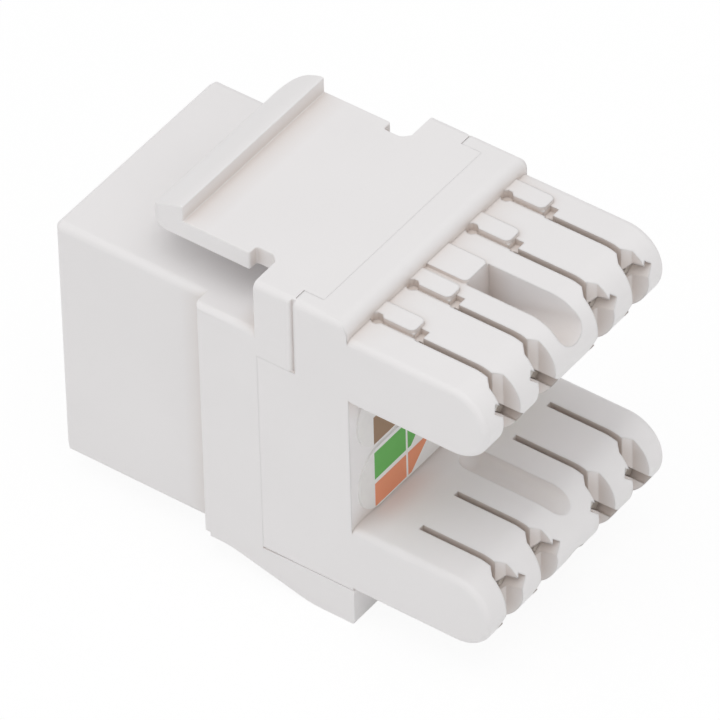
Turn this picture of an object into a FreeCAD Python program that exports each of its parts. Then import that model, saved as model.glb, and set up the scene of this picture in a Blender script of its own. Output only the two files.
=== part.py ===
import FreeCAD, Part
import math
import os

# Keystone jack with an eight-way plug port at the front and two rows of wire slots at the
# back. Millimetres. X runs from the plug side to the wire side, Z points to the latch side,
# and the origin is the centre of the front face.

# Front housing
face_width = 14.5
face_height = 16.7
nose_length = 10.1
shoulder_step = 0.95
housing_length = 14.1
nose_corner = 0.5
body_corner = 0.45
shoulder_edge = 0.35
face_chamfer = 0.3
crown_rise = 3.55
sleeve_length = 1.1
sleeve_wall = 0.65
lug_length = 2.4
lug_height = 5.1
lug_edge = 0.3
roof_length = 3.8
block_wall = 1.15
roof_thickness = 1.2

# Catch plate under the body
catch_depth = 1.4
catch_plate_rise = 0.95
catch_ramp_start = 1.8
catch_ramp_length = 5.4
catch_blend = 5.0
catch_edge = 0.15

# Plug port
port_width = 11.9
port_height = 6.9
notch_width = 6.2
notch_depth = 1.6
slit_width = 3.4
slit_depth = 1.0
face_wall = 1.8
tab_play = 0.3
bay_wall = 1.35
bay_height = 2.45
port_lead_in = 0.35
core_width = 1.6
core_wall = 1.1
core_floor = 1.7
core_depth = 11.2
core_corner = 0.3

# Latch
latch_width = 12.8
latch_front = 5.5
latch_neck = 12.55
stem_width = 11.5
latch_thickness = 1.2
latch_corner = 1.6
neck_corner = 0.15
root_flare = 0.45
wedge_edge = 0.45
wedge_length = 2.65
wedge_rise = 1.0
wedge_crest = 0.2
wedge_bulge = 0.28

# Terminal block
block_gap = 0.06
lug_gap = 0.2
block_length = 6.1
row_length = 9.0
row_height = 4.6
band_drop = 1.0
row_edge = 0.4
band_edge = 0.8
block_corner = 0.2
slot_margin = 0.6
middle_pitch = 5.4
slot_width = 0.38
slot_offset = 2.9
mouth_depth = 1.4
mouth_width = 1.25
mouth_flare = 0.15
mouth_corner = 0.4
pad_length = 2.6
pad_width = 1.2
pad_rise = 0.2
pad_corner = 0.35
groove_depth = 0.18
groove_width = 0.22
pit_radius = 0.32
pit_depth = 0.7
relief_width = 0.75
relief_length = 0.55
relief_depth = 0.9
scoop_offset = 2.6
scoop_width = 2.0
scoop_depth = 3.7
scoop_lip = 1.5
trough_offset = 2.2
trough_width = 1.7
trough_depth = 0.65

# Circuit board
board_thickness = 1.6
board_play = 0.1
board_margin = 1.2
hole_play = 0.1

# Terminals
blade_thickness = 0.4
blade_width = 2.8
blade_recess = 1.25
fork_gap = 0.3
fork_length = 5.2
fork_lead = 0.7
tine_flat = 0.4
tine_corner = 0.3
barb_rise = 0.1
barb_length = 0.8
barb_step = 0.1
pin_width = 0.6
pin_recess = 0.2
blade_play = 0.05

# Contact springs and their carrier
spring_count = 8
spring_pitch = 1.02
spring_width = 0.45
spring_thickness = 0.35
spring_front = 2.6
spring_stagger = 0.7
low_bend = 0.6
spring_angle = 27.0
spring_arm = 5.5
spring_tail = 0.3
run_drop = 1.35
spring_groove = 0.62
carrier_front = 4.2
carrier_play = 0.05
back_wall_x = 12.6
back_wall = 1.4
cheek_width = 1.0
carrier_corner = 0.4

# Wiring labels
label_thickness = 0.12
label_width = 15.1
label_gap = 0.3
label_inset = 0.12
label_corner = 1.9

# How far a cutting shape runs past a surface, and how far joined shapes run into each other
past = 1.0
bite = 0.5
# Keeps two round corners that share an edge from closing on each other
almost = 0.9995

# Levels and places that follow from the sizes above
body_width = face_width + 2 * shoulder_step
sleeve_width = port_width + 2 * sleeve_wall
roof_width = body_width - 2 * block_wall
board_width = sleeve_width - 2 * board_play
tab_room_width = notch_width + 2 * tab_play
nose_floor = -face_height / 2
nose_top = face_height / 2
crown_top = nose_top + crown_rise
roof_floor = crown_top - roof_thickness
lug_floor = crown_top - lug_height
plate_top = nose_floor + catch_plate_rise
catch_floor = nose_floor - catch_depth
bay_top = nose_top - bay_wall
port_top = bay_top - bay_height
port_floor = port_top - port_height
notch_floor = port_floor - notch_depth
slit_floor = notch_floor - slit_depth
wall_x = housing_length + block_length
board_front = housing_length + sleeve_length
board_rear = board_front + board_thickness
lug_rear = housing_length + lug_length
roof_rear = housing_length + roof_length
block_floor = plate_top + block_gap
row_top = crown_top - band_drop
row_floor = row_top - row_height
row_axis = row_top - row_height / 2
block_axis = (row_top + block_floor) / 2
tip_x = wall_x + row_length
board_height = 2 * (row_axis - block_axis + board_margin)
slot_start = wall_x + slot_offset
inner_slot, outer_slot = middle_pitch / 2, board_width / 2 - slot_margin
slot_places = [-outer_slot, -inner_slot, inner_slot, outer_slot]
latch_top = crown_top
latch_floor = latch_top - latch_thickness
blade_tip = tip_x - blade_recess
low_run = bay_top - run_drop
high_run = low_run + spring_stagger
carrier_top = bay_top - carrier_play


def vec(x, y, z):
    return FreeCAD.Vector(x, y, z)


def box(x_range, y_range, z_range):
    """A box between two corners, given as a range on each axis."""
    (x0, x1), (y0, y1), (z0, z1) = x_range, y_range, z_range
    return Part.makeBox(x1 - x0, y1 - y0, z1 - z0, vec(x0, y0, z0))


def beside(place, width):
    """The range of a width centred on a place."""
    return (place - width / 2, place + width / 2)


def middle(width):
    """The range of a width centred on the middle plane."""
    return beside(0, width)


def small_hole(radius, depth, centre, along):
    """A cutting shape for a hole so small that eight sides draw it round."""
    axis = vec(*along)
    across = vec(axis.z, axis.x, axis.y) * (radius / math.cos(math.pi / 8))
    corners = [FreeCAD.Rotation(axis, 22.5 + 45 * i).multVec(across) + centre for i in range(9)]
    return Part.Face(Part.makePolygon(corners)).extrude(axis * depth)


def both_sides(shape):
    """A shape with its mirror image across the middle plane."""
    return shape.fuse(shape.mirror(vec(0, 0, 0), vec(0, 1, 0)))


def rounded_edges(corners, place):
    """Edges of a closed outline. Each corner is (u, v, radius), and place maps (u, v) to 3-D."""
    entries, exits, middles = [], [], []
    count = len(corners)
    for i, (u, v, radius) in enumerate(corners):
        here = vec(u, v, 0)
        back = vec(*corners[i - 1][:2], 0) - here
        ahead = vec(*corners[(i + 1) % count][:2], 0) - here
        back.normalize()
        ahead.normalize()
        half = back.getAngle(ahead) / 2
        reach = radius / math.tan(half)
        entries.append(here + back * reach)
        exits.append(here + ahead * reach)
        inward = (back + ahead).normalize()
        middles.append(here + inward * (radius / math.sin(half) - radius))
    edges = []
    for i in range(count):
        if corners[i][2] > 0:
            arc = [place(p.x, p.y) for p in (entries[i], middles[i], exits[i])]
            edges.append(Part.Arc(*arc).toShape())
        start, end = exits[i], entries[(i + 1) % count]
        if start.distanceToPoint(end) > 1e-6:
            edges.append(Part.LineSegment(place(start.x, start.y), place(end.x, end.y)).toShape())
    return edges


def prism(corners, place, along):
    """A solid of a rounded outline pushed along a vector."""
    wire = Part.Wire(rounded_edges(corners, place))
    return Part.Face(wire).extrude(along)


def side_prism(corners, y_range):
    """An outline in X and Z, pushed along Y."""
    y0, y1 = y_range
    return prism(corners, lambda u, v: vec(u, y0, v), vec(0, y1 - y0, 0))


def front_prism(corners, x_range):
    """An outline in Y and Z, pushed along X."""
    x0, x1 = x_range
    return prism(corners, lambda u, v: vec(x0, u, v), vec(x1 - x0, 0, 0))


def plan_prism(corners, z_range):
    """An outline in X and Y, pushed along Z."""
    z0, z1 = z_range
    return prism(corners, lambda u, v: vec(u, v, z0), vec(0, 0, z1 - z0))


def frame_corners(width, z_range, top_radius, bottom_radius):
    """The corners of an upright rectangle centred on the middle plane."""
    half = width / 2
    low, high = z_range
    return [(-half, low, bottom_radius), (half, low, bottom_radius),
            (half, high, top_radius), (-half, high, top_radius)]


def edges_where(shape, test):
    """The edges whose every end passes a test."""
    return [e for e in shape.Edges if all(test(v.Point) for v in e.Vertexes)]


def near(a, b):
    return abs(a - b) < 1e-4


# Front housing

def nose():
    solid = front_prism(frame_corners(face_width, (nose_floor, nose_top), nose_corner, nose_corner),
                        (0, housing_length))
    rim = edges_where(solid, lambda p: near(p.x, 0))
    return solid.makeChamfer(face_chamfer, rim)


def shoulders():
    """The step up to the wider body, flush with the nose above and below."""
    solid = front_prism(frame_corners(body_width, (nose_floor, nose_top), body_corner, body_corner),
                        (nose_length, housing_length))
    half = body_width / 2
    outline = [(nose_length, -half, shoulder_edge), (housing_length, -half, 0),
               (housing_length, half, 0), (nose_length, half, shoulder_edge)]
    return solid.common(plan_prism(outline, (nose_floor, nose_top)))


def head():
    """The raised head with its side lugs, hollow behind for the board."""
    solid = front_prism(frame_corners(body_width, (lug_floor, crown_top), body_corner, 0),
                        (housing_length, lug_rear))
    half = body_width / 2
    outline = [(housing_length, -half, 0), (lug_rear, -half, lug_edge),
               (lug_rear, half, lug_edge), (housing_length, half, 0)]
    solid = solid.common(plan_prism(outline, (lug_floor, crown_top)))
    return solid.cut(box((board_front, lug_rear + past), middle(sleeve_width),
                         (lug_floor - past, crown_top + past)))


def roof():
    return box((housing_length, roof_rear), middle(roof_width), (roof_floor, crown_top))


def sleeve():
    """The spigot that the block's walls close round. The board bears on its rear face."""
    return box((housing_length, board_front), middle(sleeve_width), (plate_top, roof_floor))


def catch_plate():
    """The plate under the block, with the swelling that catches behind the panel's lower edge."""
    plate_front = nose_length + bite
    ramp_start = nose_length + catch_ramp_start
    ramp_end = ramp_start + catch_ramp_length
    corners = [(plate_front, nose_floor, 0), (ramp_start, nose_floor, catch_blend),
               (ramp_end, catch_floor, catch_blend), (wall_x, catch_floor, catch_edge),
               (wall_x, plate_top, catch_edge), (plate_front, plate_top, 0)]
    return side_prism(corners, middle(body_width))


def port_cuts():
    """The plug port, the stepped notch for the plug's tab, and the bay for the springs."""
    through_wall = (-past, face_wall + bite)
    through_rear = (face_wall, board_front + past)
    return [
        box(through_wall, middle(port_width), (port_floor, port_top)),
        box(through_wall, middle(notch_width), (notch_floor, port_floor + bite)),
        box(through_wall, middle(slit_width), (slit_floor, notch_floor + bite)),
        box(through_rear, middle(port_width), (port_floor, bay_top)),
        box(through_rear, middle(tab_room_width), (slit_floor, port_floor + bite)),
        lead_in(),
    ]


def lead_in():
    """The bevel round the port's mouth."""
    wires = []
    for x, grow in ((0, port_lead_in), (port_lead_in, 0)):
        corners = frame_corners(port_width + 2 * grow, (port_floor - grow, port_top + grow), 0, 0)
        wires.append(Part.Wire(rounded_edges(corners, lambda u, v, x=x: vec(x, u, v))))
    return Part.makeLoft(wires, True, True)


def core_pockets():
    """Pockets open to the rear that keep the lower corners from being thick."""
    outer = port_width / 2
    inner = outer - core_width
    low = nose_floor + core_floor
    high = port_floor - core_wall
    corner = min(core_corner, (high - low) / 2 * almost)
    corners = [(inner, low, corner), (outer, low, corner), (outer, high, corner), (inner, high, corner)]
    return both_sides(front_prism(corners, (board_front - core_depth, board_front + past)))


def front_housing():
    solid = nose()
    for piece in (shoulders(), head(), roof(), sleeve(), catch_plate()):
        solid = solid.fuse(piece)
    for cut in port_cuts() + [core_pockets()]:
        solid = solid.cut(cut)
    return solid.removeSplitter()


# Latch

def wedge_profile():
    """The latch seen from the side: a wedge that rises to a crest, a step, and the flat tongue."""
    crest_end = latch_front + wedge_length
    crest = crest_end - wedge_crest
    toe = vec(latch_front, 0, latch_floor + wedge_edge)
    top = vec(crest, 0, latch_top + wedge_rise)
    slope = top - toe
    bulge = vec(-slope.z, 0, slope.x).normalize() * wedge_bulge
    arc = Part.Arc(toe, toe + slope * 0.5 + bulge, top).toShape()
    corners = [top, vec(crest_end, 0, latch_top + wedge_rise), vec(crest_end, 0, latch_top),
               vec(housing_length, 0, latch_top), vec(housing_length, 0, latch_floor),
               vec(latch_front, 0, latch_floor), toe]
    lines = [Part.LineSegment(a, b).toShape() for a, b in zip(corners, corners[1:])]
    return Part.Face(Part.Wire([arc] + lines))


def latch():
    profile = wedge_profile()
    profile.translate(vec(0, -latch_width / 2, 0))
    solid = profile.extrude(vec(0, latch_width, 0))
    half, stem = latch_width / 2, stem_width / 2
    root = housing_length
    side = [(latch_front, half, latch_corner), (latch_neck, half, neck_corner),
            (latch_neck, stem, neck_corner), (root - root_flare, stem, root_flare),
            (root, stem + root_flare, 0)]
    other_side = [(u, -v, r) for u, v, r in reversed(side)]
    plan = plan_prism(side + other_side, (latch_floor - past, latch_top + wedge_rise + past))
    return solid.common(plan).removeSplitter()


# Terminal block

def block_body():
    """The walls that take the board, the roof of the front housing and its lugs."""
    front = housing_length + block_gap
    solid = front_prism(frame_corners(body_width, (block_floor, crown_top), body_corner, block_corner),
                        (front, wall_x))
    side = [(front, block_floor, 0), (wall_x, block_floor, 0), (wall_x, crown_top, band_edge),
            (front, crown_top, 0)]
    solid = solid.common(side_prism(side, middle(body_width)))
    before = housing_length - past
    inner = sleeve_width / 2 + block_gap
    high = crown_top + past
    roof_room = box((before, roof_rear + block_gap), middle(roof_width + 2 * block_gap),
                    (roof_floor - block_gap, high))
    lug_room = box((before, lug_rear + lug_gap), middle(body_width + 2 * past),
                   (lug_floor - block_gap, high))
    board_room = box((before, board_rear), (-inner, inner),
                     (block_axis - board_height / 2 - block_gap, roof_floor))
    sleeve_room = box((before, board_front + block_gap), (-inner, inner), (block_floor - past, block_axis))
    tail_half = spring_pitch * spring_count / 2
    tail_room = box((board_rear - bite, board_rear + 2 * spring_tail), (-tail_half, tail_half),
                    (low_run - 2 * spring_width, high_run + 2 * spring_width))
    for cut in (roof_room, lug_room, board_room, sleeve_room, tail_room):
        solid = solid.cut(cut)
    return solid


def row_bar():
    """One row before its slots are cut: a bar with a round end and soft outer edges."""
    start, end = wall_x - bite, row_height / 2 * almost
    corners = [(start, row_floor, 0), (tip_x, row_floor, end), (tip_x, row_top, end), (start, row_top, 0)]
    solid = side_prism(corners, middle(body_width))
    soft = [e for e in solid.Edges if near(abs(e.CenterOfMass.y), body_width / 2)
            and e.CenterOfMass.x > wall_x]
    return solid.makeFillet(row_edge, soft)


def row_slot(y):
    """One wire slot with its flared mouth, and the shallow groove that leads up to it."""
    through = (row_floor - past, row_top + past)
    slot = box((slot_start, tip_x + past), beside(y, slot_width), through)
    start, end = tip_x - mouth_depth, tip_x + past
    half = mouth_width / 2
    flared = half + mouth_flare * (1 + past / mouth_depth)
    side = [(start, half - mouth_corner), (start + mouth_corner, half), (end, flared)]
    outline = [(u, y + v, 0) for u, v in side] + [(u, y - v, 0) for u, v in reversed(side)]
    mouth = plan_prism(outline, through)
    groove = box((wall_x, slot_start + bite), beside(y, groove_width),
                 (row_top - groove_depth, row_top + past))
    pit = small_hole(pit_radius, pit_depth + past, vec(wall_x + pit_radius, y, row_top - pit_depth),
                     (0, 0, 1))
    relief = box((slot_start - relief_length / 2, slot_start + relief_length / 2), (y, y + relief_width),
                 (row_top - relief_depth, row_top + past))
    return [slot, mouth, groove, pit, relief]


def chamber_sign(y):
    """The blades lean outwards at the top on both sides of the middle."""
    return -1 if y > 0 else 1


def blade_place(y):
    """Where a terminal sits: its own Z axis is across the blade, tilted 45 degrees about X."""
    turn = FreeCAD.Rotation(vec(1, 0, 0), 45 * chamber_sign(y))
    return FreeCAD.Placement(vec(0, y, row_axis), turn)


def chamber(y):
    """The slot, across the wire slot, that a terminal's blade stands in."""
    wide = blade_width / 2 + blade_play + barb_rise
    thick = blade_thickness / 2 + blade_play
    solid = box((board_rear - bite, tip_x + past), (-thick, thick), (-wide, wide))
    solid.Placement = blade_place(y)
    return solid


def scoop():
    """The deep scoop in the middle tooth, with a round floor that slopes up to the tip."""
    start, end, above = wall_x + scoop_offset, tip_x + bite, row_top + past
    corners = [(start, row_top - scoop_depth, 0), (end, row_top - scoop_lip, 0), (end, above, 0),
               (start, above, 0)]
    solid = side_prism(corners, middle(scoop_width))
    low = edges_where(solid, lambda p: p.z < row_top)
    sides = [e for e in low if near(abs(e.CenterOfMass.y), scoop_width / 2)]
    return solid.makeFillet(scoop_width / 2 * almost, sides)


def trough():
    """The shallow round trough along the middle tooth, on the side of the cable space."""
    radius = (trough_width ** 2 / 4 + trough_depth ** 2) / (2 * trough_depth)
    start = wall_x + trough_offset
    centre = vec(start, 0, row_floor + trough_depth - radius)
    bar = Part.makeCylinder(radius, row_length, centre, vec(1, 0, 0))
    return bar.fuse(Part.makeSphere(radius, centre))


def pad(y_range):
    """A low pad beside a groove, next to the band."""
    y0, y1 = y_range
    end = wall_x + pad_length
    outline = [(wall_x, y0, 0), (end, y0, pad_corner), (end, y1, pad_corner), (wall_x, y1, 0)]
    return plan_prism(outline, (row_top - pad_rise, row_top + pad_rise))


def upper_row():
    solid = row_bar()
    clear = groove_width / 2
    for y in slot_places:
        solid = solid.fuse(pad((y + clear, y + clear + pad_width)))
    solid = solid.fuse(pad(middle(scoop_width)))
    for y in slot_places:
        for cut in row_slot(y):
            solid = solid.cut(cut)
    return solid.cut(scoop()).cut(trough())


def turned_over(shape):
    """A shape turned half round the block's own axis, from the upper row to the lower one."""
    copy = shape.copy()
    copy.rotate(vec(0, 0, block_axis), vec(1, 0, 0), 180)
    return copy


def idc_block():
    row = upper_row()
    solid = block_body().fuse(row).fuse(turned_over(row))
    for y in slot_places:
        space = chamber(y)
        solid = solid.cut(space).cut(turned_over(space))
    return solid.removeSplitter()


# Circuit board

def circuit_board():
    low = block_axis - board_height / 2
    solid = box((board_front, board_rear), middle(board_width), (low, low + board_height))
    spring_reach = math.hypot(spring_width, spring_thickness) / 2 + hole_play
    pin_reach = math.hypot(pin_width, blade_thickness) / 2 + hole_play
    for i, y in enumerate(spring_places()):
        solid = solid.cut(board_hole(y, run_height(i), spring_reach))
    for y in slot_places:
        hole = board_hole(y, row_axis, pin_reach)
        solid = solid.cut(hole).cut(turned_over(hole))
    return solid


def board_hole(y, z, radius):
    return small_hole(radius, board_thickness + 2 * past, vec(board_front - past, y, z), (1, 0, 0))


# Terminals

def terminal(y):
    """A flat forked blade: a pin for the board, a barbed shank, and two tines with a lead-in."""
    half, pin, gap = blade_width / 2, pin_width / 2, fork_gap / 2
    thick = blade_thickness / 2
    fork_root = blade_tip - fork_length
    corners = [(board_front + pin_recess, -pin, 0), (board_rear, -pin, 0), (board_rear, -half, 0),
               (fork_root - barb_length, -half, 0), (fork_root - barb_step, -half - barb_rise, 0),
               (fork_root, -half, 0), (blade_tip, -half, tine_corner), (blade_tip, -gap - tine_flat, 0),
               (blade_tip - fork_lead, -gap, 0), (fork_root, -gap, 0)]
    mirrored = [(u, -v, r) for u, v, r in reversed(corners)]
    solid = prism(corners + mirrored, lambda u, v: vec(u, -thick, v), vec(0, blade_thickness, 0))
    solid.Placement = blade_place(y)
    return solid


# Contact springs

def spring_places():
    return [(i - (spring_count - 1) / 2) * spring_pitch for i in range(spring_count)]


def run_height(index):
    """Neighbouring springs run at two heights, so that their holes in the board are staggered."""
    return high_run if index % 2 else low_run


def bend_radius(index):
    """Both bends end at the same height, where the sloping arm begins."""
    return low_bend + (run_height(index) - low_run) / (1 + math.cos(math.radians(spring_angle)))


def spring_outline(index, offset):
    """The line of one face of the strip, from its tail over the bend to the arm's tip."""
    run, radius = run_height(index), bend_radius(index)
    slope = math.radians(spring_angle)
    centre = vec(spring_front + radius, 0, run - radius)
    reach = radius + offset
    top = centre + vec(0, 0, reach)
    bend = centre + vec(-math.cos(slope / 2), 0, math.sin(slope / 2)) * reach
    low = centre + vec(-math.sin(slope), 0, -math.cos(slope)) * reach
    tip = low + vec(math.cos(slope), 0, -math.sin(slope)) * spring_arm
    tail = vec(board_rear + spring_tail, 0, top.z)
    return [Part.LineSegment(tail, top), Part.Arc(top, bend, low), Part.LineSegment(low, tip)], tail, tip


def contact_spring(index, y):
    """A stamped strip: a straight run from the board, a bend at the front, and a sloping arm."""
    outer, outer_tail, outer_tip = spring_outline(index, spring_thickness / 2)
    inner, inner_tail, inner_tip = spring_outline(index, -spring_thickness / 2)
    ends = [Part.LineSegment(outer_tail, inner_tail), Part.LineSegment(outer_tip, inner_tip)]
    wire = Part.Wire(Part.__sortEdges__([e.toShape() for e in outer + inner + ends]))
    solid = Part.Face(wire).extrude(vec(0, spring_width, 0))
    solid.translate(vec(0, y - spring_width / 2, 0))
    return solid


def contact_carrier():
    """The insert behind the port: a grooved shelf for the springs and the port's back wall."""
    width = port_width - 2 * carrier_play
    low = port_floor + carrier_play
    wall_range = (back_wall_x, back_wall_x + back_wall)
    shelf = side_prism([(carrier_front, port_top, 0), (board_front, port_top, 0),
                        (board_front, carrier_top, 0), (carrier_front, carrier_top, carrier_corner)],
                       middle(width))
    back = box(wall_range, middle(width), (low, port_top + bite))
    tongue = box(wall_range, middle(tab_room_width - 2 * carrier_play),
                 (slit_floor + carrier_play, low + bite))
    cheek = box((back_wall_x, board_front), (width / 2 - cheek_width, width / 2), (low, port_top + bite))
    solid = shelf.fuse(back).fuse(tongue).fuse(both_sides(cheek))
    for i, y in enumerate(spring_places()):
        top = run_height(i) + spring_groove / 2
        across = beside(y, spring_groove)
        groove = box((carrier_front - past, back_wall_x), across, (port_top - past, top))
        tunnel = box((carrier_front, board_front + past), across, (top - spring_groove, top))
        solid = solid.cut(groove).cut(tunnel)
    return solid.removeSplitter()


# Wiring labels

def label(z_range):
    low, high = z_range
    corner = min(label_corner, (high - low) / 2 * almost)
    corners = frame_corners(label_width, (low, high), corner, corner)
    return front_prism(corners, (wall_x, wall_x + label_thickness))


def label_ranges():
    """The heights of the lower and upper labels, which share the wall between the rows."""
    low = 2 * block_axis - row_floor + label_inset
    high = row_floor - label_inset
    height = (high - low - label_gap) / 2
    return (low, low + height), (high - height, high)


def build():
    lower, upper = label_ranges()
    pieces = {
        "front_housing": front_housing(),
        "latch": latch(),
        "idc_block": idc_block(),
        "circuit_board": circuit_board(),
        "contact_carrier": contact_carrier(),
        "upper_label": label(upper),
        "lower_label": label(lower),
    }
    for i, y in enumerate(spring_places()):
        pieces[f"contact_spring_{i + 1}"] = contact_spring(i, y)
    count = 2 * len(slot_places)
    for i, y in enumerate(slot_places):
        blade = terminal(y)
        pieces[f"idc_terminal_{i + 1}"] = blade
        pieces[f"idc_terminal_{count - i}"] = turned_over(blade)
    return pieces


os.makedirs("parts", exist_ok=True)
for name, shape in build().items():
    solids = shape.Solids
    print(f"{name}: {len(solids)} solid, {shape.Volume:.2f} mm3, valid {shape.isValid()}")
    (solids[0] if len(solids) == 1 else shape).exportStep(f"parts/{name}.step")
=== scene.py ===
import math

import bmesh
import bpy
from mathutils import Matrix, Vector
from mathutils.bvhtree import BVHTree


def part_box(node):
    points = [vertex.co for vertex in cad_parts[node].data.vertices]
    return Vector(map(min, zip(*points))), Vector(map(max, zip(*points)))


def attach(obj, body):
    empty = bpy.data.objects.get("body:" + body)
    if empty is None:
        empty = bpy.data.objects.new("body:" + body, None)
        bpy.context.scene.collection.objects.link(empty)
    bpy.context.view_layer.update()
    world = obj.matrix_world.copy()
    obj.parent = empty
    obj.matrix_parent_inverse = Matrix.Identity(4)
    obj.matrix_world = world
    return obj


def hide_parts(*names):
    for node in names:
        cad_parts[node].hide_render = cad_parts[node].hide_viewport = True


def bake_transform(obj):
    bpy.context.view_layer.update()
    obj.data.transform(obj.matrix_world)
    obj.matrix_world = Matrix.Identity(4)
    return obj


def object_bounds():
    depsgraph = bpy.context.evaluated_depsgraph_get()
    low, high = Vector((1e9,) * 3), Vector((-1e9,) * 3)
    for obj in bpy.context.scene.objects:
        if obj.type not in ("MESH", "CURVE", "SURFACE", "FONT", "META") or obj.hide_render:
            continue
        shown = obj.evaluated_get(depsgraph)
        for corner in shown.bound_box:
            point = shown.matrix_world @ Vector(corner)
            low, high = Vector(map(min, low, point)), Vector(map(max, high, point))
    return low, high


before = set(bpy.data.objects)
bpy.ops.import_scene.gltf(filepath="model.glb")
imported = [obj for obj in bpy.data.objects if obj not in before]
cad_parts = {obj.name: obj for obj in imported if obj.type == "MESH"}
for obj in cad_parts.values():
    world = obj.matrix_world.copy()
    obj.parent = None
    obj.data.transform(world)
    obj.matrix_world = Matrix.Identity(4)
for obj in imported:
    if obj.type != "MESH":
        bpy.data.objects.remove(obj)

cad_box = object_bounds()
MM = 0.001
touch = 0.001 * MM

# White mouldings: their colour, and the warmer, darker painted shade laid into their hollows
white_moulding = (0.885, 0.866, 0.866)
painted_recess_shade = (0.69, 0.605, 0.55)
painted_shade_reach = 1.7 * MM
painted_shade_falloff = 1.4

# Mould rounds
housing_round = 0.07 * MM
block_round = 0.05 * MM
edge_round = 0.16 * MM

# Seams between the housing and the block
seam_reach = 0.12 * MM
lug_reach = 0.22 * MM
lug_seam = 0.04 * MM

# Pits and reliefs beside the pads: how far they lie from the wire end, and how much shallower they get
pit_area = 0.5 * MM * MM
pit_from_end = 8.68 * MM
pit_lift = 0.42 * MM
relief_from_end = 6.1 * MM
relief_lift = 0.55 * MM
pit_reach = 0.1 * MM
upper_row_level = 9 * MM

# Latch
stiff_wedge = 3.2 * MM
latch_cuts = 8

floor_clearance = 0.02 * MM


# Shader maths and materials

class Value:
    """A shader socket that takes Python's arithmetic; each operator adds one Math node."""

    def __init__(self, tree, output):
        self.tree, self.output = tree, output

    def maths(self, operation, *values):
        node = self.tree.nodes.new("ShaderNodeMath")
        node.operation = operation
        for socket, value in zip(node.inputs, values):
            feed(self.tree, socket, value)
        return Value(self.tree, node.outputs[0])

    def __add__(self, other):
        return self.maths("ADD", self, other)

    def __sub__(self, other):
        return self.maths("SUBTRACT", self, other)

    def __rsub__(self, other):
        return self.maths("SUBTRACT", other, self)

    def __mul__(self, other):
        return self.maths("MULTIPLY", self, other)

    def power(self, other):
        return self.maths("POWER", self, other)

    def __gt__(self, other):
        return self.maths("GREATER_THAN", self, other)

    def __lt__(self, other):
        return self.maths("LESS_THAN", self, other)

    def __abs__(self):
        return self.maths("ABSOLUTE", self)

    __radd__, __rmul__ = __add__, __mul__


def feed(tree, socket, value):
    """Links a socket to a value, or sets it."""
    if isinstance(value, Value):
        tree.links.new(value.output, socket)
    else:
        socket.default_value = value


class Finish:
    """A material with one Principled shader, and one method for every other node."""

    def __init__(self, name, **constants):
        self.material = bpy.data.materials.new(name)
        self.material.use_nodes = True
        self.tree = self.material.node_tree
        self.shader = self.tree.nodes["Principled BSDF"]
        for socket, value in constants.items():
            self.shader.inputs[socket.replace("_", " ")].default_value = value
        self.place = self.add("ShaderNodeTexCoord", output="Object")

    def add(self, kind, settings=None, output=0, **inputs):
        node = self.tree.nodes.new(kind)
        for key, value in (settings or {}).items():
            if key == "stops":
                ramp = node.color_ramp.elements
                for element, (position, shade) in zip(ramp, value):
                    element.position, element.color = position, (*shade, 1)
            else:
                setattr(node, key, value)
        for key, value in inputs.items():
            feed(self.tree, node.inputs[key], value)
        return Value(self.tree, node.outputs[output])

    def noise(self, scale, detail=2.0, place=None):
        return self.add("ShaderNodeTexNoise", Vector=place or self.place, Scale=scale, Detail=detail)

    def axes(self):
        """The x, y and z of a point on the piece, in millimetres."""
        scaled = self.add("ShaderNodeVectorMath", {"operation": "SCALE"}, Vector=self.place, Scale=1 / MM)
        split = self.add("ShaderNodeSeparateXYZ", Vector=scaled)
        outputs = split.output.node.outputs
        return [Value(self.tree, outputs[i]) for i in range(3)]

    def mix(self, factor, first, second):
        """One colour laid over another where the factor is 1."""
        node = self.tree.nodes.new("ShaderNodeMix")
        node.data_type = "RGBA"
        for name, value in (("Factor_Float", factor), ("A_Color", first), ("B_Color", second)):
            socket = next(s for s in node.inputs if s.identifier == name)
            feed(self.tree, socket, value if isinstance(value, (Value, float, int)) else (*value, 1))
        return Value(self.tree, next(s for s in node.outputs if s.identifier == "Result_Color"))

    def bump(self, height, strength, distance, over=None):
        base = {"Normal": over} if over else {}
        return self.add("ShaderNodeBump", Height=height, Strength=strength, Distance=distance, **base)

    def varies(self, **sockets):
        """Links what changes over the surface to the shader."""
        for name, value in sockets.items():
            self.tree.links.new(value.output, self.shader.inputs[name.replace("_", " ")])
        return self.material


def moulded_plastic(name, shade, seed_shift=0.0, soft_edges=False):
    """Satin moulded plastic: faint flow marks in its tone, painted shade in its hollows from an ambient
    occlusion mask, and the fine grain of an eroded mould.
    """
    finish = Finish(name, Roughness=0.42, IOR=1.5)
    place = finish.add("ShaderNodeMapping", Vector=finish.place, Location=(seed_shift, 0, 0))
    flow = finish.noise(160.0, 3.0, place)
    unshaded_share = finish.add("ShaderNodeAmbientOcclusion", {"samples": 8, "only_local": True}, output="AO",
                           Distance=painted_shade_reach)
    grain = finish.noise(9000.0, 2.0, place)
    scuffs = finish.noise(1400.0, 4.0, place)
    darker = tuple(0.93 * c for c in shade)
    surface_shade = finish.mix(flow * 0.55, shade, darker)
    # Painted shade: the colour turns warmer and darker in hollows, corners and gaps, as far as the ambient
    # occlusion finds them closed in
    colour = finish.mix(unshaded_share.power(painted_shade_falloff), painted_recess_shade, surface_shade)
    roughness = 0.36 + grain * 0.1 + scuffs * 0.08
    eased = finish.add("ShaderNodeBevel", {"samples": 4}, Radius=edge_round) if soft_edges else None
    surface = finish.bump(grain * 0.7 + scuffs * 0.5, 0.22, 0.012 * MM, eased)
    return finish.varies(Base_Color=colour, Roughness=roughness, Normal=surface)


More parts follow.
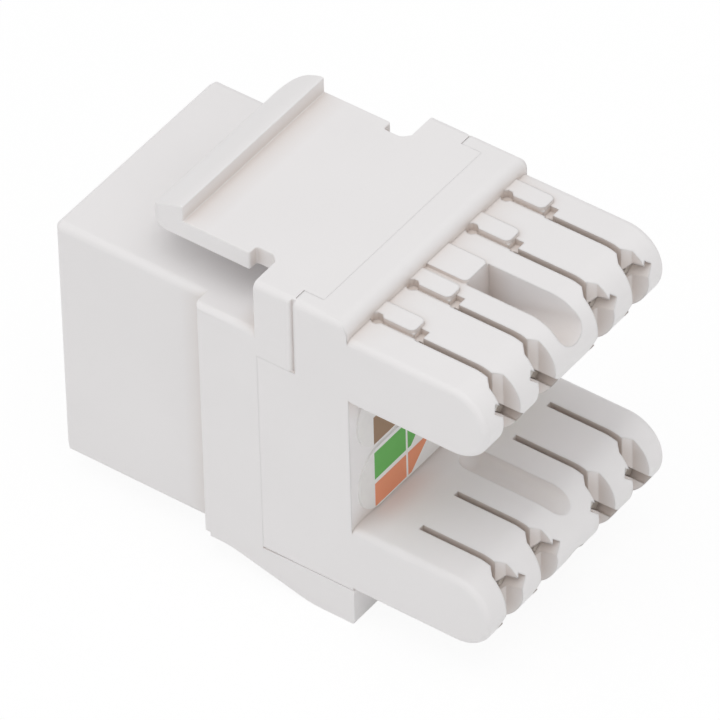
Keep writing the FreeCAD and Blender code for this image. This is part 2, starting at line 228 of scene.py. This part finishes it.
def gold_plating():
    """Bright gold over a rolled strip, with fine lines along it."""
    finish = Finish("gold_plating", Metallic=1.0)
    lines = finish.noise(600.0, 3.0, finish.add("ShaderNodeMapping", Vector=finish.place, Scale=(1, 30, 30)))
    colour = finish.mix(lines, (0.83, 0.60, 0.22), (0.74, 0.50, 0.17))
    return finish.varies(Base_Color=colour, Roughness=0.2 + lines * 0.18,
                         Normal=finish.bump(lines, 0.15, 0.004 * MM))


def tin_plating():
    """Pale tin with a soft sheen and a little mottling."""
    finish = Finish("tin_plating", Metallic=1.0)
    cloud = finish.noise(1500.0, 3.0)
    colour = finish.mix(cloud, (0.80, 0.79, 0.76), (0.66, 0.65, 0.62))
    return finish.varies(Base_Color=colour, Roughness=0.22 + cloud * 0.2,
                         Normal=finish.bump(cloud, 0.2, 0.004 * MM))


def solder_mask():
    """Green mask over the board's glass weave."""
    finish = Finish("solder_mask", Roughness=0.3, Coat_Weight=0.3)
    weave = finish.add("ShaderNodeTexWave", {"bands_direction": "Y"}, Vector=finish.place, Scale=500.0)
    cross = finish.add("ShaderNodeTexWave", {"bands_direction": "Z"}, Vector=finish.place, Scale=500.0)
    cloth = weave * cross
    colour = finish.mix(cloth, (0.02, 0.16, 0.06), (0.03, 0.22, 0.09))
    return finish.varies(Base_Color=colour, Normal=finish.bump(cloth, 0.2, 0.01 * MM))


def between(value, low, high):
    """1 inside a range and 0 outside."""
    return (value > low) * (value < high)


def printed_label():
    """White film with four rows of colour: full cells at the sides, split cells beside the middle."""
    finish = Finish("printed_label", Roughness=0.4)
    x, y, z = finish.axes()
    paper = finish.noise(2500.0, 2.0)
    film = finish.mix(paper, (0.86, 0.845, 0.83), (0.81, 0.795, 0.78))
    far_side = y > 0.0
    across = abs(y)
    row_levels = [(-2.5, -0.86), (-0.55, 1.38), (2.0, 3.95), (4.25, 6.05)]
    near_inks = [(0.80, 0.29, 0.15), (0.12, 0.44, 0.085), (0.31, 0.195, 0.115), (0.09, 0.22, 0.6)]
    far_inks = [near_inks[1], near_inks[0], near_inks[2], near_inks[3]]
    colour = film
    for (low, high), near_ink, far_ink in zip(row_levels, near_inks, far_inks):
        ink = finish.mix(far_side, near_ink, far_ink)
        rise = (z - low) * (1 / (high - low))
        full = between(across, 3.36, 6.2)
        split = between(across, 0.9, 3.2) * ((across + rise * 1.8) > 2.9)
        inside = between(z, low, high) * (full + split)
        colour = finish.mix(inside, colour, ink)
    return finish.varies(Base_Color=colour, Roughness=0.36 + paper * 0.12,
                         Normal=finish.bump(paper, 0.08, 0.004 * MM))


# Pieces

def merged_copy(node, name):
    """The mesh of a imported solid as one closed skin, with its flat faces whole again."""
    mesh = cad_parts[node].data.copy()
    mesh.name = name
    shape = bmesh.new()
    shape.from_mesh(mesh)
    bmesh.ops.remove_doubles(shape, verts=shape.verts, dist=0.0005 * MM)
    bmesh.ops.dissolve_limit(shape, angle_limit=math.radians(0.5), use_dissolve_boundaries=False,
                             verts=shape.verts, edges=shape.edges)
    return mesh, shape


def soften(shape, width, keep_sharp=None, steeper_than=50):
    """Breaks the hard edges with a narrow round, as a mould leaves them."""
    eased = shape.faces.layers.int.new("eased")
    edges = [e for e in shape.edges if len(e.link_faces) == 2
             and e.calc_face_angle(0) > math.radians(steeper_than)
             and not (keep_sharp and all(keep_sharp(v.co) for v in e.verts))]
    rounds = bmesh.ops.bevel(shape, geom=edges, offset=width, offset_type="OFFSET", affect="EDGES",
                             segments=2, profile=0.5, material=-1, clamp_overlap=True, loop_slide=True)
    for face in rounds["faces"]:
        if face.is_valid:
            face[eased] = 1


def corner_normals(shape, smooth_below=32, eased_below=50):
    """One normal for each face corner: flat faces stay flat, and rounds run smoothly into them."""
    eased = shape.faces.layers.int["eased"]
    areas = {face: face.calc_area() for face in shape.faces}
    smooth, bend = math.cos(math.radians(smooth_below)), math.cos(math.radians(eased_below))
    normals = []
    for face in shape.faces:
        for corner in face.loops:
            total = Vector()
            for near in corner.vert.link_faces:
                if near.normal.dot(face.normal) > (bend if face[eased] or near[eased] else smooth):
                    total += near.normal * areas[near]
            normals.append(total.normalized())
    shape.faces.layers.int.remove(eased)
    return normals


def close_seams(shape, neighbour):
    """Brings the faces that look at a neighbour across a narrow clearance up to it, and the wider gap
    behind the lugs down to a fine seam."""
    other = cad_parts[neighbour].data
    wall = BVHTree.FromPolygons([v.co for v in other.vertices], [tuple(p.vertices) for p in other.polygons])
    shifts = {}
    for face in shape.faces:
        rearward = face.normal.x > 0.99
        gap = wall.ray_cast(face.calc_center_median(), face.normal, lug_reach if rearward else seam_reach)[3]
        if gap is not None:
            gap = gap - lug_seam if gap > seam_reach else gap
            side = tuple(round(n, 2) for n in face.normal)
            for vert in face.verts:
                shifts.setdefault(vert, {})[side] = face.normal * gap
    for vert, steps in shifts.items():
        vert.co += sum(steps.values(), Vector())


def finished(mesh, shape, material, body, nodes):
    """Writes a shape to its mesh, gives it its finish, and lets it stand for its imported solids."""
    normals = corner_normals(shape)
    shape.to_mesh(mesh)
    shape.free()
    mesh.shade_smooth()
    mesh.normals_split_custom_set(normals)
    mesh.materials.clear()
    mesh.materials.append(material)
    piece = bpy.data.objects.new(mesh.name, mesh)
    bpy.context.scene.collection.objects.link(piece)
    if body:
        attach(piece, body)
    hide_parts(*nodes)
    return piece


def latch_root():
    """Where the latch grows out of the head: its x, its half width and the levels of its faces."""
    points = [v.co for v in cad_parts["latch"].data.vertices]
    root_x = max(p.x for p in points)
    root = [p for p in points if p.x > root_x - touch]
    return root_x, max(p.y for p in root), min(p.z for p in root), max(p.z for p in root)


def housing_piece(material):
    """The housing, with the head's front edge left sharp only where the latch runs into it."""
    mesh, shape = merged_copy("front_housing", "front_housing_moulding")
    root_x, half, _, top = latch_root()
    for side in (-half, half):
        head = [f for f in shape.faces if f.calc_center_median().z > top - 3 * MM]
        parts = {e for f in head for e in f.edges} | {v for f in head for v in f.verts}
        bmesh.ops.bisect_plane(shape, geom=head + list(parts), plane_co=(0, side, 0), plane_no=(0, 1, 0),
                               dist=touch)

    def under_latch(point):
        return abs(point.x - root_x) < 10 * touch and point.z > top - 10 * touch and abs(point.y) < half * 1.001
    close_seams(shape, "idc_block")
    soften(shape, housing_round, under_latch)
    return finished(mesh, shape, material, "jack", ["front_housing"])


def raise_floors(shape, near_x, lift):
    """Makes the small pits at one distance along the upper row shallower by lifting their floors."""
    floors = [f for f in shape.faces if f.normal.z > 0.99 and f.calc_area() < pit_area
              and abs(f.calc_center_bounds().x - near_x) < pit_reach
              and f.calc_center_bounds().z > upper_row_level]
    bmesh.ops.translate(shape, verts=list({v for f in floors for v in f.verts}), vec=(0, 0, lift))


def block_piece(material):
    """The wire block, with its sink pits and reliefs as shallow as they look beside the pads."""
    mesh, shape = merged_copy("idc_block", "wire_block_moulding")
    wire_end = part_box("idc_block")[1].x
    raise_floors(shape, wire_end - pit_from_end, pit_lift)
    raise_floors(shape, wire_end - relief_from_end, relief_lift)
    soften(shape, block_round)
    return finished(mesh, shape, material, "jack", ["idc_block"])


def latch_piece(material):
    """The latch, cut across between its stiff wedge and its root, which stays on the housing."""
    mesh, shape = merged_copy("latch", "latch_moulding")
    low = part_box("latch")[0]
    root_x, bend_start = latch_root()[0], low.x + stiff_wedge
    soften(shape, housing_round, lambda p: abs(p.x - root_x) < 10 * touch)
    for i in range(1, latch_cuts):
        place = bend_start + (root_x - bend_start) * i / latch_cuts
        bmesh.ops.bisect_plane(shape, geom=shape.verts[:] + shape.edges[:] + shape.faces[:],
                               plane_co=(place, 0, 0), plane_no=(1, 0, 0), dist=touch)
    piece = finished(mesh, shape, material, None, ["latch"])
    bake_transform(piece)
    return piece


def refinish(names, material):
    """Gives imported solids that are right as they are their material."""
    for name in names:
        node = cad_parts[name]
        for slot in node.material_slots:
            slot.material = material


# Studio

def floor_material():
    """A pale floor that reads white to the camera and keeps the object's shadow."""
    finish = Finish("studio_floor", Roughness=0.9)
    tree = finish.tree
    speckle = finish.noise(300.0)
    finish.varies(Base_Color=finish.mix(speckle, (0.90, 0.90, 0.90), (0.88, 0.88, 0.88)))
    seen = finish.add("ShaderNodeLightPath", output="Is Camera Ray")
    glossy = finish.add("ShaderNodeLightPath", output="Is Glossy Ray")
    glow = finish.add("ShaderNodeEmission", Color=(1, 1, 1, 1), Strength=1.02)
    blend = finish.tree.nodes.new("ShaderNodeMixShader")
    feed(tree, blend.inputs[0], (seen + glossy) * 0.9)
    tree.links.new(finish.shader.outputs[0], blend.inputs[1])
    tree.links.new(glow.output, blend.inputs[2])
    tree.links.new(blend.outputs[0], tree.nodes["Material Output"].inputs[0])
    return finish.material


def studio_floor(level):
    shape = bmesh.new()
    bmesh.ops.create_circle(shape, cap_ends=True, segments=64, radius=1.5)
    mesh = bpy.data.meshes.new("floor")
    shape.to_mesh(mesh)
    shape.free()
    mesh.transform(Matrix.Translation((0, 0, level)))
    mesh.materials.append(floor_material())
    floor = bpy.data.objects.new("floor", mesh)
    bpy.context.scene.collection.objects.link(floor)


def softbox(name, azimuth, elevation, distance, size, power, centre):
    """A square lamp that faces the object."""
    a, e = math.radians(azimuth), math.radians(elevation)
    back = Vector((math.sin(a) * math.cos(e), -math.cos(a) * math.cos(e), math.sin(e)))
    lamp = bpy.data.lights.new(name, "AREA")
    lamp.shape, lamp.size, lamp.energy = "SQUARE", size, power
    holder = bpy.data.objects.new(name, lamp)
    holder.location = centre + back * distance
    holder.rotation_euler = (-back).to_track_quat("-Z", "Y").to_euler()
    bpy.context.scene.collection.objects.link(holder)


def studio_light(centre):
    world = bpy.data.worlds.new("studio")
    world.use_nodes = True
    bpy.context.scene.world = world
    tree = world.node_tree
    surround = tree.nodes["Background"]
    surround.inputs["Color"].default_value = (1, 1, 1, 1)
    surround.inputs["Strength"].default_value = 0.54
    seen = tree.nodes.new("ShaderNodeLightPath")
    white = tree.nodes.new("ShaderNodeBackground")
    white.inputs["Strength"].default_value = 1.0
    blend = tree.nodes.new("ShaderNodeMixShader")
    tree.links.new(seen.outputs["Is Camera Ray"], blend.inputs[0])
    tree.links.new(surround.outputs[0], blend.inputs[1])
    tree.links.new(white.outputs[0], blend.inputs[2])
    tree.links.new(blend.outputs[0], tree.nodes["World Output"].inputs[0])
    softbox("top_softbox", 10, 78, 0.5, 0.45, 0.9, centre)
    softbox("left_softbox", -35, 35, 0.5, 0.3, 0.2, centre)
    softbox("back_softbox", 150, 40, 0.6, 0.35, 0.2, centre)
    softbox("wire_side_softbox", 70, 12, 0.5, 0.35, 0.25, centre)


def studio_camera(centre):
    """A long lens from the wire side, above and to the right of the jack, with a slight roll."""
    azimuth, elevation, roll = (math.radians(v) for v in (36.99, 42.457, -1.533))
    back = Vector((math.sin(azimuth) * math.cos(elevation), -math.cos(azimuth) * math.cos(elevation),
                   math.sin(elevation)))
    level_right = Vector((math.cos(azimuth), math.sin(azimuth), 0))
    level_up = back.cross(level_right)
    right = level_right * math.cos(roll) + level_up * math.sin(roll)
    up = level_up * math.cos(roll) - level_right * math.sin(roll)
    aim = centre + right * 0.235 * MM - up * 0.809 * MM - back * 1.122 * MM
    camera = bpy.data.objects.new("camera", bpy.data.cameras.new("camera"))
    camera.data.lens, camera.data.sensor_width = 526.5, 36.0
    camera.data.clip_start, camera.data.clip_end = 0.05, 10.0
    turn = Matrix((right, up, back)).transposed().to_4x4()
    camera.matrix_world = Matrix.Translation(aim + back * 0.568) @ turn
    bpy.context.scene.collection.objects.link(camera)
    bpy.context.scene.camera = camera


moulding = moulded_plastic("white_moulding", white_moulding)
housing_piece(moulding)
latch_piece(moulding)
block_piece(moulded_plastic("block_moulding", white_moulding, 0.02, soft_edges=True))
refinish(["contact_carrier"], moulded_plastic("carrier_moulding", (0.82, 0.81, 0.80), 0.05))
refinish(["circuit_board"], solder_mask())
refinish(["upper_label", "lower_label"], printed_label())
refinish([f"contact_spring_{i}" for i in range(1, 9)], gold_plating())
refinish([f"idc_terminal_{i}" for i in range(1, 9)], tin_plating())

object_low, object_high = cad_box
object_centre = (object_low + object_high) / 2
studio_floor(object_low.z - floor_clearance)
studio_light(object_centre)
studio_camera(object_centre)
bpy.context.scene.view_settings.view_transform = "Standard"
